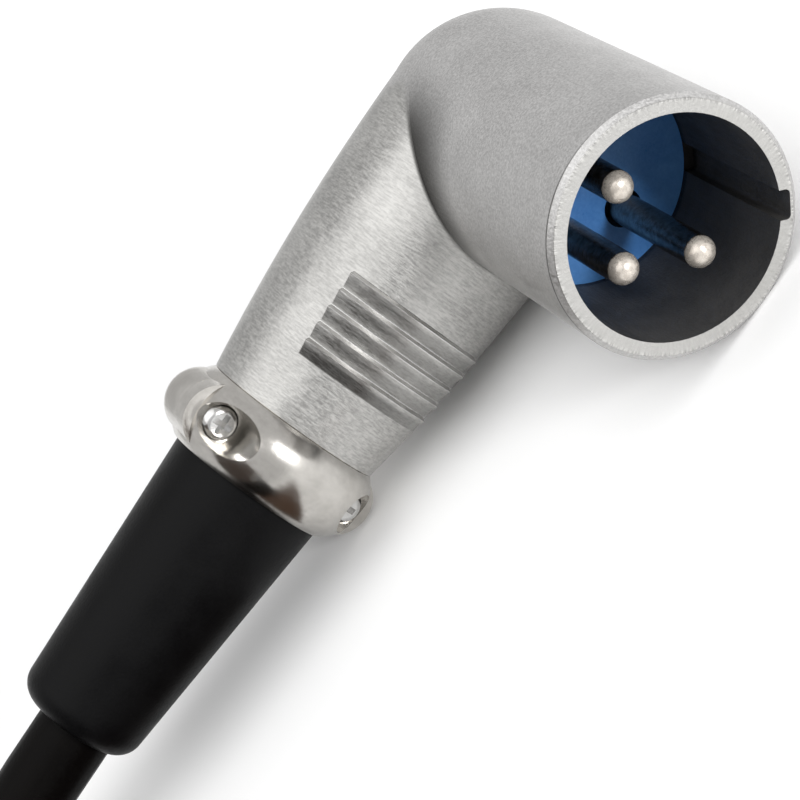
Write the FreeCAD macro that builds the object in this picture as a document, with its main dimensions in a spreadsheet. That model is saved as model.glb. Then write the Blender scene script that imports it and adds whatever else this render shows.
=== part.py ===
"""A balanced audio lead: a right-angle male plug, its cable tied in a hank, and a straight socket.

Millimetres. The origin lies on the surface under the middle of the plug, the mouth opens towards -Y,
the neck and its cable leave towards -X, and +Z is up. The corner is where the barrel's axis and the
neck's axis cross; the plug's pieces are drawn about it.
"""
import FreeCAD, Part
import math
import os
import re

import Sketcher

VECTOR = FreeCAD.Vector

# Every size that drives the model. The sheet keeps them under these names.
SIZES = {
    # right-angle shell
    "barrel_radius": 9.5, "elbow_depth": 29.7, "rim_wall": 1.35, "back_wall": 1.9,
    "rim_chamfer": 0.4, "key_width": 2.2, "key_depth": 0.75, "key_round": 0.35, "key_angle": 45,
    # male insert and pins
    "insert_depth": 14.9, "insert_thickness": 6.5, "pin_radius": 1.2, "pin_circle": 4.2,
    "pin_recess": 1.5, "pin_shoulder": 0.3, "pin_tail": 5.3, "tail_radius": 1.0, "pin_entry": 0.15,
    "cup_depth": 3.0, "wire_radius": 0.8,
    # retaining screw of an insert
    "set_screw_radius": 1.0, "set_head_radius": 1.4, "set_head_height": 0.6, "set_screw_bite": 2.4,
    "set_sink": 0.15, "slot_depth": 0.3,
    # neck, with grip ribs on both faces
    "neck_length": 27.6, "neck_start": 9.45, "neck_end": 7.38, "neck_curve": 183, "neck_bore": 6.2,
    "rib_count": 5, "rib_pitch": 1.5, "rib_width": 1.4, "rib_height": 0.4, "rib_lead": 0.25,
    "rib_root": 1.2, "rib_span": 92, "rib_start": 15.4,
    # swollen collar that grips the boot, split into a saddle and a fixed half
    "collar_length": 6.2, "collar_start": 7.3, "collar_end": 6.9, "collar_curve": 3.95,
    "grip_radius": 4.0, "part_line": 0.6, "ear_offset": 6.4, "ear_radius": 2.75, "ear_front": 4.6,
    "ear_back": 4.6, "ear_round": 2.4, "recess_radius": 1.85, "seat_depth": 2.2,
    "screw_radius": 1.0, "screw_clearance": 0.12, "screw_sink": 0.3, "head_radius": 1.45,
    "head_height": 1.3, "head_round": 0.5, "head_dome": 0.8, "drive_depth": 0.6,
    "drive_width": 0.5, "drive_length": 1.7,
    # boot and cable
    "boot_radius": 6.5, "boot_end": 5.2, "boot_length": 23.3, "boot_grip": 7.2, "boot_round": 2.0, "boot_lip": 0.15,
    "cable_radius": 3.15, "jacket_entry": 21.0,
    # straight socket on the far end
    "body_length": 11.0, "nose_length": 15.0, "nose_radius": 7.95, "nose_wall": 0.9,
    "socket_recess": 0.4, "socket_start": 1.0, "contact_radius": 1.9, "contact_bore": 1.25,
    "contact_wall": 1.0, "contact_depth": 14.0, "contact_tail": 4.0, "shell_hollow": 4.0,
    # latch of the socket
    "latch_pivot": 1.0, "latch_height": 7.2, "latch_pin": 0.6, "latch_pin_half": 4.2,
    "latch_width": 3.8, "latch_gap": 0.3, "latch_reach": 21.2, "latch_bottom": 6.3,
    "latch_tongue": 1.2, "latch_heel": 1.2, "eye_gap": 0.05, "hook_rise": 1.2, "hook_ramp": 1.4,
    "hook_length": 2.4, "button_start": 1.0, "button_length": 8.0, "button_rise": 0.7,
    "button_crown": 20, "grip_count": 4, "grip_pitch": 1.2, "grip_width": 0.6, "grip_depth": 0.25,
    "latch_floor": 5.1, "spring_width": 2.6, "spring_gauge": 0.25,
    # hank of spare cable and its tie
    "hank_columns": 3, "hank_layers": 3, "hank_fold": 19.5, "hank_run": 70.0, "hank_lead": 60.0,
    "far_set": 5.8,
    "tie_gauge": 0.8, "tie_width": 16.0,
}

# Places that follow from the sizes, worked out in the sheet.
RULES = {
    "corner_x": "(neck_length + collar_length + boot_length - barrel_radius) / 2",
    "corner_y": "(elbow_depth - barrel_radius) / 2",
    "hank_outer": "hank_fold + (2 * hank_columns - 1) * cable_radius",
    "hank_start": "corner_x - neck_length - collar_length - boot_length - hank_lead",
    "hank_middle": "corner_y - hank_outer + cable_radius",
    "far_x": "hank_start - far_set",
    "far_y": "hank_middle - hank_fold - (hank_columns - 1) * cable_radius",
    "far_z": "tie_gauge + 2 * hank_layers * cable_radius + barrel_radius",
}

doc = FreeCAD.newDocument("AudioLead")
sheet = doc.addObject("Spreadsheet::Sheet", "Sizes")
for row, (word, number) in enumerate(SIZES.items(), start=1):
    sheet.set(f"A{row}", word)
    sheet.set(f"B{row}", str(number))
    sheet.setAlias(f"B{row}", word)
for row, (word, rule) in enumerate(RULES.items(), start=len(SIZES) + 1):
    sheet.set(f"A{row}", word)
    sheet.set(f"B{row}", "=" + rule)
    sheet.setAlias(f"B{row}", word)
doc.recompute()

made = {}


def bound(text):
    """The expression with each size's name pointed at its cell."""
    known = SIZES.keys() | RULES.keys()
    return re.sub(r"[a-z][a-z_]*", lambda m: f"Sizes.{m[0]}" if m[0] in known else m[0], str(text))


def worth(text):
    """The number that an expression on the sizes gives now."""
    return float(sheet.evalExpression(bound(text)))


def new_body(label, at=("0", "0", "0")):
    """An empty body whose place is bound to the sheet."""
    body = doc.addObject("PartDesign::Body", label)
    body.Label = label
    for axis, text in zip("xyz", at):
        body.setExpression(f"Placement.Base.{axis}", bound(text))
    made[label] = body
    return body


def new_sketch(body, name, plane, offset="0"):
    """A sketch on one of the body's own planes, moved along the plane's normal by offset."""
    sketch = body.newObject("Sketcher::SketchObject", name)
    support = next(o for o in body.Origin.OriginFeatures if o.Role == plane)
    sketch.AttachmentSupport = [(support, "")]
    sketch.MapMode = "FlatFace"
    sketch.setExpression("AttachmentOffset.Base.z", bound(offset))
    return sketch


def pin_point(sketch, edge, end, point):
    """Ties a vertex to the sketch's origin by two driven distances."""
    for kind, text in zip(("DistanceX", "DistanceY"), point):
        index = sketch.addConstraint(Sketcher.Constraint(kind, -1, 1, edge, end, worth(text)))
        sketch.setExpression(f"Constraints[{index}]", bound(text))


def arc_between(start, end, radius, side):
    """The arc from start to end that bulges to the left (side 1) or right (side -1) of the way there."""
    a, b = VECTOR(*start, 0), VECTOR(*end, 0)
    half = (b - a) * 0.5
    left = VECTOR(-half.y, half.x, 0).normalize()
    centre = a + half - left * side * math.sqrt(radius ** 2 - half.Length ** 2)
    angles = [math.atan2((p - centre).y, (p - centre).x) for p in ((b, a) if side > 0 else (a, b))]
    return Part.ArcOfCircle(Part.Circle(centre, VECTOR(0, 0, 1), radius), *angles)


def outline(sketch, points):
    """A closed outline of (x, y) expressions; (x, y, radius, side) starts an arc to the next point."""
    where = [(worth(p[0]), worth(p[1])) for p in points]
    starts = []
    for index, point in enumerate(points):
        here, there = where[index], where[(index + 1) % len(points)]
        if len(point) == 4:
            curve = arc_between(here, there, worth(point[2]), point[3])
            edge = sketch.addGeometry(curve, False)
            starts.append((edge, 2 if point[3] > 0 else 1))
            row = sketch.addConstraint(Sketcher.Constraint("Radius", edge, worth(point[2])))
            sketch.setExpression(f"Constraints[{row}]", bound(point[2]))
        else:
            line = Part.LineSegment(VECTOR(*here, 0), VECTOR(*there, 0))
            starts.append((sketch.addGeometry(line, False), 1))
    for index, point in enumerate(points):
        edge, start = starts[index]
        before, before_start = starts[index - 1]
        sketch.addConstraint(Sketcher.Constraint("Coincident", before, 3 - before_start, edge, start))
        pin_point(sketch, edge, start, point)


def circle(sketch, x, y, radius):
    """A circle whose centre and radius are driven."""
    ring = Part.Circle(VECTOR(worth(x), worth(y), 0), VECTOR(0, 0, 1), worth(radius))
    edge = sketch.addGeometry(ring, False)
    row = sketch.addConstraint(Sketcher.Constraint("Radius", edge, worth(radius)))
    sketch.setExpression(f"Constraints[{row}]", bound(radius))
    pin_point(sketch, edge, 3, (x, y))


def rectangle(sketch, left, right, low, high):
    """A closed rectangle between four driven places."""
    outline(sketch, [(left, low), (right, low), (right, high), (left, high)])


def axis_line(sketch, height):
    """A construction line along the sketch's horizontal direction, for turning a shape about."""
    level = worth(height)
    line = Part.LineSegment(VECTOR(-1, level, 0), VECTOR(1, level, 0))
    edge = sketch.addGeometry(line, True)
    pin_point(sketch, edge, 1, ("-1", height))
    pin_point(sketch, edge, 2, ("1", height))


def feature(body, kind, name, sketch, **settings):
    """A PartDesign feature on a sketch; text settings are expressions."""
    made_feature = body.newObject(f"PartDesign::{kind}", name)
    made_feature.Profile = sketch
    for key, value in settings.items():
        if key in ("Length", "Angle"):
            made_feature.setExpression(key, bound(value))
        else:
            setattr(made_feature, key, value)
    sketch.Visibility = False
    return made_feature


def turned(body, name, sketch, axis, kind="Revolution"):
    """A full turn of a sketch about one of its own axes."""
    return feature(body, kind, name, sketch, ReferenceAxis=(sketch, [axis]), Angle="360")


def mirrored(body, name, original, plane):
    """A mirror copy of a feature across one of the body's planes."""
    copy = body.newObject("PartDesign::Mirrored", name)
    copy.Originals = [original]
    copy.MirrorPlane = (next(o for o in body.Origin.OriginFeatures if o.Role == plane), [""])
    body.Tip = copy
    return copy


def cut(body, name, sketch, length, backwards=False, both=False):
    """A pocket of a driven length, both ways from the sketch if asked; it must remove something."""
    doc.recompute()
    before = body.Shape.Volume
    settings = {"Length": length, "Reversed": backwards}
    if both:
        settings["Midplane"] = True
    pocket = feature(body, "Pocket", name, sketch, **settings)
    doc.recompute()
    if body.Shape.Volume > before - 0.001:
        raise RuntimeError(f"{body.Label}: {name} cuts nothing")
    return pocket


PLUG = ("corner_x", "corner_y", "barrel_radius")
SOCKET = ("far_x", "far_y", "far_z")
HANK = ("hank_start", "hank_middle", "tie_gauge")
COLLAR_END = "(neck_length + collar_length)"
EAR_X = "(neck_length + collar_length / 2)"


def neck(body):
    """The long curved taper from the plug's corner down to the collar."""
    sketch = new_sketch(body, "neck_outline", "XY_Plane")
    outline(sketch, [("0", "0"), ("-neck_length", "0"), ("-neck_length", "neck_end", "neck_curve", 1),
                     ("0", "neck_start")])
    turned(body, "neck_taper", sketch, "H_Axis")


def neck_skin(along):
    """The neck's radius at a distance from the corner: the straight taper and the arc's rise over it."""
    taper = f"(neck_start - neck_end) * {along} / neck_length"
    return f"(neck_start - {taper} + {along} * (neck_length - {along}) / (2 * neck_curve))"


def ribs(body):
    """Saw-toothed finger ribs round the front of the neck, and their mirror copy on the back."""
    sketch = new_sketch(body, "rib_outlines", "XY_Plane")
    for number in range(round(worth("rib_count"))):
        near = f"(rib_start + {number} * rib_pitch)"
        far = f"({near} + rib_width)"
        outline(sketch, [(f"-{near}", f"-{neck_skin(near)} + rib_root"), (f"-{near}", f"-{neck_skin(near)}"),
                         (f"-{near} - rib_lead", f"-{neck_skin(near)} - rib_height"),
                         (f"-{far}", f"-{neck_skin(far)}"), (f"-{far}", f"-{neck_skin(far)} + rib_root")])
    front = feature(body, "Revolution", "front_ribs", sketch, ReferenceAxis=(sketch, ["H_Axis"]),
                    Angle="rib_span", Midplane=True)
    mirrored(body, "back_ribs", front, "XZ_Plane")


def collar(body):
    """The swollen ring with an ear for a screw above and below."""
    sketch = new_sketch(body, "collar_outline", "XY_Plane")
    outline(sketch, [("-neck_length", "0"), (f"-{COLLAR_END}", "0"),
                     (f"-{COLLAR_END}", "collar_end", "collar_curve", 1),
                     ("-neck_length", "collar_start")])
    turned(body, "collar_bulge", sketch, "H_Axis")
    sketch = new_sketch(body, "ear_outline", "YZ_Plane", f"-{EAR_X}")
    outline(sketch, [("-ear_front", "ear_offset"), ("ear_back", "ear_offset"),
                     ("ear_back", "ear_offset + ear_radius - ear_round", "ear_round", -1),
                     ("ear_back - ear_round", "ear_offset + ear_radius"),
                     ("-ear_front + ear_round", "ear_offset + ear_radius", "ear_round", 1),
                     ("-ear_front", "ear_offset + ear_radius - ear_round")])
    axis_line(sketch, "ear_offset")
    upper = turned(body, "upper_ear", sketch, "Axis0")
    mirrored(body, "lower_ear", upper, "XY_Plane")


def ear_circles(sketch, radius):
    """One circle at each ear's axis, on a plane across the screws."""
    circle(sketch, f"-{EAR_X}", "ear_offset", radius)
    circle(sketch, f"-{EAR_X}", "-ear_offset", radius)


def open_for_saddle(body):
    """Takes the front half of the collar off a shell, and drills the two screw holes."""
    sketch = new_sketch(body, "saddle_room", "XY_Plane")
    rectangle(sketch, f"-{COLLAR_END} - 1", "-neck_length", "-2 * barrel_radius", "-part_line")
    cut(body, "saddle_seat", sketch, "4 * barrel_radius", both=True)
    sketch = new_sketch(body, "screw_places", "XZ_Plane", "part_line + 1")
    ear_circles(sketch, "screw_radius")
    cut(body, "screw_holes", sketch, "2 * barrel_radius")


def neck_hollow(body):
    """The bore from the corner, and its narrower end in the collar, which grips the boot."""
    sketch = new_sketch(body, "neck_bore_outline", "XY_Plane")
    outline(sketch, [("0", "0"), ("0", "neck_bore"), ("-neck_length", "neck_bore"),
                     ("-neck_length", "grip_radius"), (f"-{COLLAR_END} - 1", "grip_radius"),
                     (f"-{COLLAR_END} - 1", "0")])
    turned(body, "neck_bore_cut", sketch, "H_Axis", "Groove")


def elbow_shell():
    """The cast right-angle shell: barrel, round corner, neck, ribs and the fixed half of the collar."""
    body = new_body("elbow_shell", PLUG)
    sketch = new_sketch(body, "barrel_outline", "XY_Plane")
    outline(sketch, [("0", "-elbow_depth"), ("barrel_radius - rim_chamfer", "-elbow_depth"),
                     ("barrel_radius", "-elbow_depth + rim_chamfer"),
                     ("barrel_radius", "0", "barrel_radius", -1), ("0", "barrel_radius")])
    turned(body, "barrel", sketch, "V_Axis")
    neck(body)
    ribs(body)
    collar(body)
    sketch = new_sketch(body, "cavity_outline", "XY_Plane")
    bore = "barrel_radius - rim_wall"
    hollow = "barrel_radius - back_wall"
    shoulder = "-elbow_depth + insert_depth + insert_thickness"
    outline(sketch, [("0", "-elbow_depth - 1"), (bore, "-elbow_depth - 1"), (bore, shoulder),
                     (hollow, shoulder), (hollow, "0", hollow, -1), ("0", hollow)])
    turned(body, "cavity", sketch, "V_Axis", "Groove")
    neck_hollow(body)
    keyway(body)
    open_for_saddle(body)
    set_screw_hole(body)


def keyway(body):
    """The groove in the bore that guides the mating plug, from the mouth to the insert."""
    sketch = new_sketch(body, "key_outline", "XZ_Plane", "elbow_depth + 1")
    near = "(barrel_radius - rim_wall - 1)"
    deep = "(barrel_radius - rim_wall + key_depth)"
    side = "(key_width / 2)"
    corner = ("key_round", -1)
    corners = [(near, f"-{side}"), (f"({deep} - key_round)", f"-{side}", *corner),
               (deep, f"(key_round - {side})"), (deep, f"({side} - key_round)", *corner),
               (f"({deep} - key_round)", side), (near, side)]
    outline(sketch, [(f"{u} * cos(key_angle) + {v} * sin(key_angle)",
                      f"-{u} * sin(key_angle) + {v} * cos(key_angle)", *arc) for u, v, *arc in corners])
    cut(body, "key_groove", sketch, "insert_depth + 1")


def set_screw_outline(body, top):
    """Half the outline of the retaining screw, from its tip in the insert out to top, and its axis."""
    sketch = new_sketch(body, "set_screw_outline", "XY_Plane")
    tip = "barrel_radius - rim_wall - set_screw_bite"
    seat = "barrel_radius - set_head_height"
    outline(sketch, [(tip, PLUG_SCREW), (tip, f"{PLUG_SCREW} + set_screw_radius"),
                     (seat, f"{PLUG_SCREW} + set_screw_radius"), (seat, f"{PLUG_SCREW} + set_head_radius"),
                     (top, f"{PLUG_SCREW} + set_head_radius"), (top, PLUG_SCREW)])
    axis_line(sketch, PLUG_SCREW)
    return sketch


def set_screw_hole(body):
    """The counterbored hole through the barrel's side for the screw that holds the insert."""
    turned(body, "set_screw_cut", set_screw_outline(body, "barrel_radius + set_sink"), "Axis0", "Groove")


def set_screw():
    """The insert's retaining screw, its slotted head just under the skin of the barrel."""
    body = new_body("insert_screw", PLUG)
    turned(body, "screw", set_screw_outline(body, "barrel_radius - set_sink"), "Axis0")
    sketch = new_sketch(body, "slot_outline", "XY_Plane")
    rectangle(sketch, "barrel_radius - set_sink - slot_depth", "barrel_radius",
              f"{PLUG_SCREW} - drive_width / 2", f"{PLUG_SCREW} + drive_width / 2")
    cut(body, "slot", sketch, "4 * set_head_radius", both=True)


def male_insert():
    """The moulded disc that holds the three pins, with the blind hole that its screw bites."""
    body = new_body("male_insert", PLUG)
    sketch = new_sketch(body, "insert_outline", "XZ_Plane", "elbow_depth - insert_depth")
    circle(sketch, "0", "0", "barrel_radius - rim_wall")
    for x, z in PIN_PLACES:
        circle(sketch, x, z, "pin_radius + pin_shoulder")
    feature(body, "Pad", "disc", sketch, Length="insert_thickness", Reversed=True)
    sketch = new_sketch(body, "bite_outline", "YZ_Plane", "barrel_radius - rim_wall - set_screw_bite")
    circle(sketch, PLUG_SCREW, "0", "set_screw_radius")
    cut(body, "bite", sketch, "2 * set_screw_bite", backwards=True)


def contact_pin(number, x, z):
    """A turned pin with a domed tip, and a solder cup behind the insert."""
    body = new_body(f"contact_pin_{number}", (f"corner_x + {x}", "corner_y", f"barrel_radius + {z}"))
    tip = "-elbow_depth + pin_recess"
    face = "-elbow_depth + insert_depth"
    rear = f"{face} + insert_thickness"
    back = f"{rear} + pin_tail"
    thick = "pin_radius + pin_shoulder"
    sketch = new_sketch(body, "pin_outline", "XY_Plane")
    outline(sketch, [("0", tip, "pin_radius", -1), ("pin_radius", f"{tip} + pin_radius"),
                     ("pin_radius", face), (thick, face), (thick, rear), ("tail_radius", rear),
                     ("tail_radius", back), ("wire_radius", back),
                     ("wire_radius", f"{back} - cup_depth"), ("0", f"{back} - cup_depth")])
    turned(body, "pin", sketch, "V_Axis")


def clamp_saddle(label, place):
    """The loose front half of the collar, counterbored for its two screws."""
    body = new_body(label, place)
    collar(body)
    sketch = new_sketch(body, "fixed_half", "XY_Plane")
    rectangle(sketch, f"-{COLLAR_END} - 1", "-neck_length + 1", "-part_line", "2 * barrel_radius")
    cut(body, "front_half_only", sketch, "4 * barrel_radius", both=True)
    neck_hollow(body)
    sketch = new_sketch(body, "recess_places", "XZ_Plane", "seat_depth")
    ear_circles(sketch, "recess_radius")
    cut(body, "recesses", sketch, "barrel_radius", backwards=True)
    sketch = new_sketch(body, "clearance_places", "XZ_Plane", "seat_depth + 1")
    ear_circles(sketch, "screw_radius + screw_clearance")
    cut(body, "clearance_holes", sketch, "seat_depth + 2")


def clamp_screw(label, place, side):
    """A small cross-head screw through the saddle into the fixed half of the collar."""
    body = new_body(label, place)
    height = f"{side} * ear_offset"
    sketch = new_sketch(body, "screw_outline", "YZ_Plane", f"-{EAR_X}")
    top = "-seat_depth - head_height"
    point = "ear_back - screw_sink"
    outline(sketch, [(top, height), (top, f"{height} + head_radius - head_round", "head_dome", 1),
                     (f"{top} + head_round", f"{height} + head_radius"),
                     ("-seat_depth", f"{height} + head_radius"),
                     ("-seat_depth", f"{height} + screw_radius"),
                     (f"{point} - screw_radius / 2", f"{height} + screw_radius"),
                     (point, f"{height} + screw_radius / 2"), (point, height)])
    axis_line(sketch, height)
    turned(body, "screw", sketch, "Axis0")
    for turn, (wide, high) in enumerate((("drive_length", "drive_width"), ("drive_width", "drive_length"))):
        sketch = new_sketch(body, f"drive_outline_{turn}", "XZ_Plane", "seat_depth + head_height + 1")
        rectangle(sketch, f"-{EAR_X} - {wide} / 2", f"-{EAR_X} + {wide} / 2",
                  f"{height} - {high} / 2", f"{height} + {high} / 2")
        cut(body, f"drive_{turn}", sketch, "drive_depth + 1")


def boot(label, place):
    """The tapered rubber sleeve, gripped by the collar behind a flange, and bored for the cable."""
    body = new_body(label, place)
    start = f"-{COLLAR_END}"
    end = f"-{COLLAR_END} - boot_length"
    inner = f"-{COLLAR_END} + boot_grip"
    sketch = new_sketch(body, "boot_outline", "XY_Plane")
    outline(sketch, [(inner, "cable_radius"), (inner, "neck_bore"), ("-neck_length", "neck_bore"),
                     ("-neck_length", "grip_radius"), (start, "grip_radius"), (start, "boot_radius"),
                     (f"{end} + boot_round", "boot_end", "boot_round", -1),
                     (end, "boot_end - boot_round + boot_lip"), (end, "cable_radius")])
    turned(body, "sleeve", sketch, "H_Axis")


def round_path(points):
    """Straight runs joined by tangent arcs, each as large as its two runs allow."""
    points = [VECTOR(*p) for p in points]
    edges, radii, at = [], [], points[0]
    for before, corner, after in zip(points, points[1:], points[2:]):
        back, on = before - corner, after - corner
        turn = math.pi - back.getAngle(on)
        run = 0.45 * min(back.Length, on.Length)
        radii.append(run / math.tan(turn / 2))
        back.normalize()
        on.normalize()
        start, end = corner + back * run, corner + on * run
        inward = (back + on).normalize()
        middle = corner + inward * (radii[-1] / math.cos(turn / 2) - radii[-1])
        edges.append(Part.LineSegment(at, start).toShape())
        edges.append(Part.Arc(start, middle, end).toShape())
        at = end
    edges.append(Part.LineSegment(at, points[-1]).toShape())
    return Part.Wire(edges), radii


def tube(label, points, radius):
    """A round tube along a route, as one solid, with its volume held against section times length."""
    path, radii = round_path(points)
    along = VECTOR(*points[1]) - VECTOR(*points[0])
    section = Part.Wire(Part.Circle(VECTOR(*points[0]), along, radius).toShape())
    shape = path.makePipeShell([section], True, False)
    solid = shape if shape.ShapeType == "Solid" else shape.Solids[0]
    piece = doc.addObject("Part::Feature", label)
    piece.Label = label
    piece.Shape = solid
    made[label] = piece
    share = solid.Volume / (math.pi * radius ** 2 * path.Length)
    bends = ", ".join(f"{bend:.1f}" for bend in radii)
    print(f"{label}: length {path.Length:.1f}, volume share {share:.4f}, bend radii {bends}")


def socket_shell():
    """The turned shell of the straight socket: nose sleeve, body, neck, ribs and fixed collar half."""
    body = new_body("socket_shell", SOCKET)
    sketch = new_sketch(body, "body_outline", "XY_Plane")
    tip = "body_length + nose_length"
    outline(sketch, [("0", "0"), (tip, "0"), (tip, "nose_radius - rim_chamfer"),
                     (f"{tip} - rim_chamfer", "nose_radius"), ("body_length", "nose_radius"),
                     ("body_length", "barrel_radius - rim_chamfer"),
                     ("body_length - rim_chamfer", "barrel_radius"), ("0", "barrel_radius")])
    turned(body, "barrel", sketch, "H_Axis")
    neck(body)
    ribs(body)
    collar(body)
    sketch = new_sketch(body, "hollow_outline", "XY_Plane")
    bore = "nose_radius - nose_wall"
    outline(sketch, [("-shell_hollow", "0"), (f"{tip} + 1", "0"), (f"{tip} + 1", bore),
                     ("-shell_hollow", bore)])
    turned(body, "hollow", sketch, "H_Axis", "Groove")
    neck_hollow(body)
    open_for_saddle(body)
    sketch = new_sketch(body, "latch_slot_outline", "XY_Plane", "latch_floor")
    half = "(latch_width / 2 + latch_gap)"
    rectangle(sketch, "-latch_pivot - latch_heel - latch_gap", "latch_reach + latch_gap", f"-{half}", half)
    cut(body, "latch_slot", sketch, "barrel_radius", backwards=True)
    sketch = new_sketch(body, "pivot_place", "XZ_Plane")
    circle(sketch, "-latch_pivot", "latch_height", "latch_pin")
    cut(body, "pivot_hole", sketch, "2 * latch_pin_half", both=True)


def socket_insert():
    """The moulded core of the nose, bored for three contacts, with a trough under the latch."""
    body = new_body("socket_insert", SOCKET)
    tip = "body_length + nose_length - socket_recess"
    front = f"{tip} - contact_wall"
    sketch = new_sketch(body, "core_outline", "YZ_Plane", "socket_start")
    circle(sketch, "0", "0", "nose_radius - nose_wall")
    for y, z in CONTACT_PLACES:
        circle(sketch, y, z, "contact_radius")
    feature(body, "Pad", "core", sketch, Length=f"{front} - socket_start")
    sketch = new_sketch(body, "face_outline", "YZ_Plane", front)
    circle(sketch, "0", "0", "nose_radius - nose_wall")
    for y, z in CONTACT_PLACES:
        circle(sketch, y, z, "pin_radius + pin_entry")
    feature(body, "Pad", "front_wall", sketch, Length="contact_wall")
    sketch = new_sketch(body, "trough_outline", "XY_Plane", "latch_floor")
    half = "(latch_width / 2 + latch_gap)"
    rectangle(sketch, "0", "latch_reach + latch_gap", f"-{half}", half)
    cut(body, "trough", sketch, "barrel_radius", backwards=True)


def socket_contact(number, y, z):
    """A tubular contact, open at the front for a pin and cupped at the back for its wire."""
    body = new_body(f"socket_contact_{number}", ("far_x", f"far_y + {y}", f"far_z + {z}"))
    front = "body_length + nose_length - socket_recess - contact_wall"
    back = "socket_start - contact_tail"
    sketch = new_sketch(body, "contact_outline", "XY_Plane")
    outline(sketch, [(back, "wire_radius"), (back, "pin_radius"), ("socket_start - 0.6", "pin_radius"),
                     ("socket_start", "contact_radius"), (front, "contact_radius"),
                     (front, "contact_bore"), (f"{front} - contact_depth", "contact_bore"),
                     (f"{front} - contact_depth", "0"), (f"{back} + cup_depth", "0"),
                     (f"{back} + cup_depth", "wire_radius")])
    turned(body, "contact", sketch, "H_Axis")


def socket_latch():
    """The latch lever: a ridged thumb button behind, a tongue along the nose and a hook at its tip."""
    body = new_body("socket_latch", SOCKET)
    sketch = new_sketch(body, "lever_outline", "XZ_Plane")
    top = "barrel_radius + button_rise"
    tongue = "latch_bottom + latch_tongue"
    rise = f"{tongue} + hook_rise"
    neck_top = "latch_height + latch_pin + 0.5"
    outline(sketch, [("-latch_pivot - latch_heel", "latch_bottom"), ("latch_reach", "latch_bottom"),
                     ("latch_reach", f"{tongue} - 0.3"), ("latch_reach - hook_ramp", rise),
                     ("latch_reach - hook_length", rise), ("latch_reach - hook_length", tongue),
                     ("button_length + 0.8", tongue), ("button_length", top, "button_crown", -1),
                     ("button_start", f"{top} - 0.3"), ("button_start - 0.7", neck_top),
                     ("-latch_pivot - latch_heel", neck_top)])
    feature(body, "Pad", "lever", sketch, Length="latch_width", Midplane=True)
    sketch = new_sketch(body, "eye_place", "XZ_Plane")
    circle(sketch, "-latch_pivot", "latch_height", "latch_pin + eye_gap")
    cut(body, "eye", sketch, "2 * latch_width", both=True)
    sketch = new_sketch(body, "grip_outline", "XZ_Plane")
    rectangle(sketch, "button_start + grip_pitch", "button_start + grip_pitch + grip_width",
              f"{top} - grip_depth", f"{top} + 1")
    groove = cut(body, "grip_groove", sketch, "2 * latch_width", both=True)
    row = body.newObject("PartDesign::LinearPattern", "grip_grooves")
    row.Originals = [groove]
    row.Direction = (next(o for o in body.Origin.OriginFeatures if o.Role == "X_Axis"), [""])
    row.setExpression("Length", bound("(grip_count - 1) * grip_pitch"))
    row.setExpression("Occurrences", bound("grip_count"))
    body.Tip = row


def latch_pin():
    """The pin that the lever turns on, held in the shell at both ends."""
    body = new_body("latch_pin", SOCKET)
    sketch = new_sketch(body, "pin_place", "XZ_Plane")
    circle(sketch, "-latch_pivot", "latch_height", "latch_pin")
    feature(body, "Pad", "pin", sketch, Length="2 * latch_pin_half", Midplane=True)


def latch_spring():
    """The leaf spring that lies in the trough and lifts the tongue."""
    body = new_body("latch_spring", SOCKET)
    sketch = new_sketch(body, "leaf_outline", "XZ_Plane")
    floor, lift = "latch_floor", "latch_bottom"
    outline(sketch, [("2.5", floor), ("8.0", floor), ("14.0", f"{lift} - spring_gauge"),
                     ("16.5", f"{lift} - spring_gauge"), ("16.5", lift), ("13.9", lift),
                     ("7.9", f"{floor} + spring_gauge"), ("2.5", f"{floor} + spring_gauge")])
    feature(body, "Pad", "leaf", sketch, Length="spring_width", Midplane=True)


def hank():
    """The outer shape of the spare cable, wound in an oblong of three layers of three turns."""
    body = new_body("cable_hank", ("hank_start", "hank_middle", "tie_gauge"))
    sketch = new_sketch(body, "hank_outline", "XY_Plane")
    for radius in ("(hank_fold - cable_radius)", "hank_outer"):
        outline(sketch, [("0", f"-{radius}", radius, -1), (radius, "0", radius, -1), ("0", radius),
                         ("-hank_run", radius, radius, -1), (f"-hank_run - {radius}", "0", radius, -1),
                         ("-hank_run", f"-{radius}")])
    feature(body, "Pad", "turns", sketch, Length="2 * hank_layers * cable_radius")


def hank_tie():
    """The strap round one side of the hank."""
    body = new_body("hank_tie", ("hank_start - tie_width / 2 - 1", "hank_middle", "tie_gauge"))
    sketch = new_sketch(body, "strap_outline", "YZ_Plane", "-tie_width / 2")
    low, high = "hank_fold - cable_radius", "hank_outer"
    top = "2 * hank_layers * cable_radius"
    for grow in ("0", "tie_gauge"):
        outline(sketch, [(f"{low} - {grow}", f"-{grow}"), (f"{high} + {grow}", f"-{grow}"),
                         (f"{high} + {grow}", f"{top} + {grow}"), (f"{low} - {grow}", f"{top} + {grow}")])
    feature(body, "Pad", "strap", sketch, Length="tie_width")


def place_from(start, *offset):
    """The point at an offset from a place, both given as expressions."""
    return [worth(f"({a}) + ({b})") for a, b in zip(start, offset)]


PIN_PLACES = [("0", "pin_circle"), ("0", "-pin_circle"), ("-pin_circle", "0")]
CONTACT_PLACES = [(f"pin_circle * cos({turn})", f"pin_circle * sin({turn})") for turn in (-45, 135, 225)]
PLUG_SCREW = "-elbow_depth + insert_depth + insert_thickness / 3"

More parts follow.
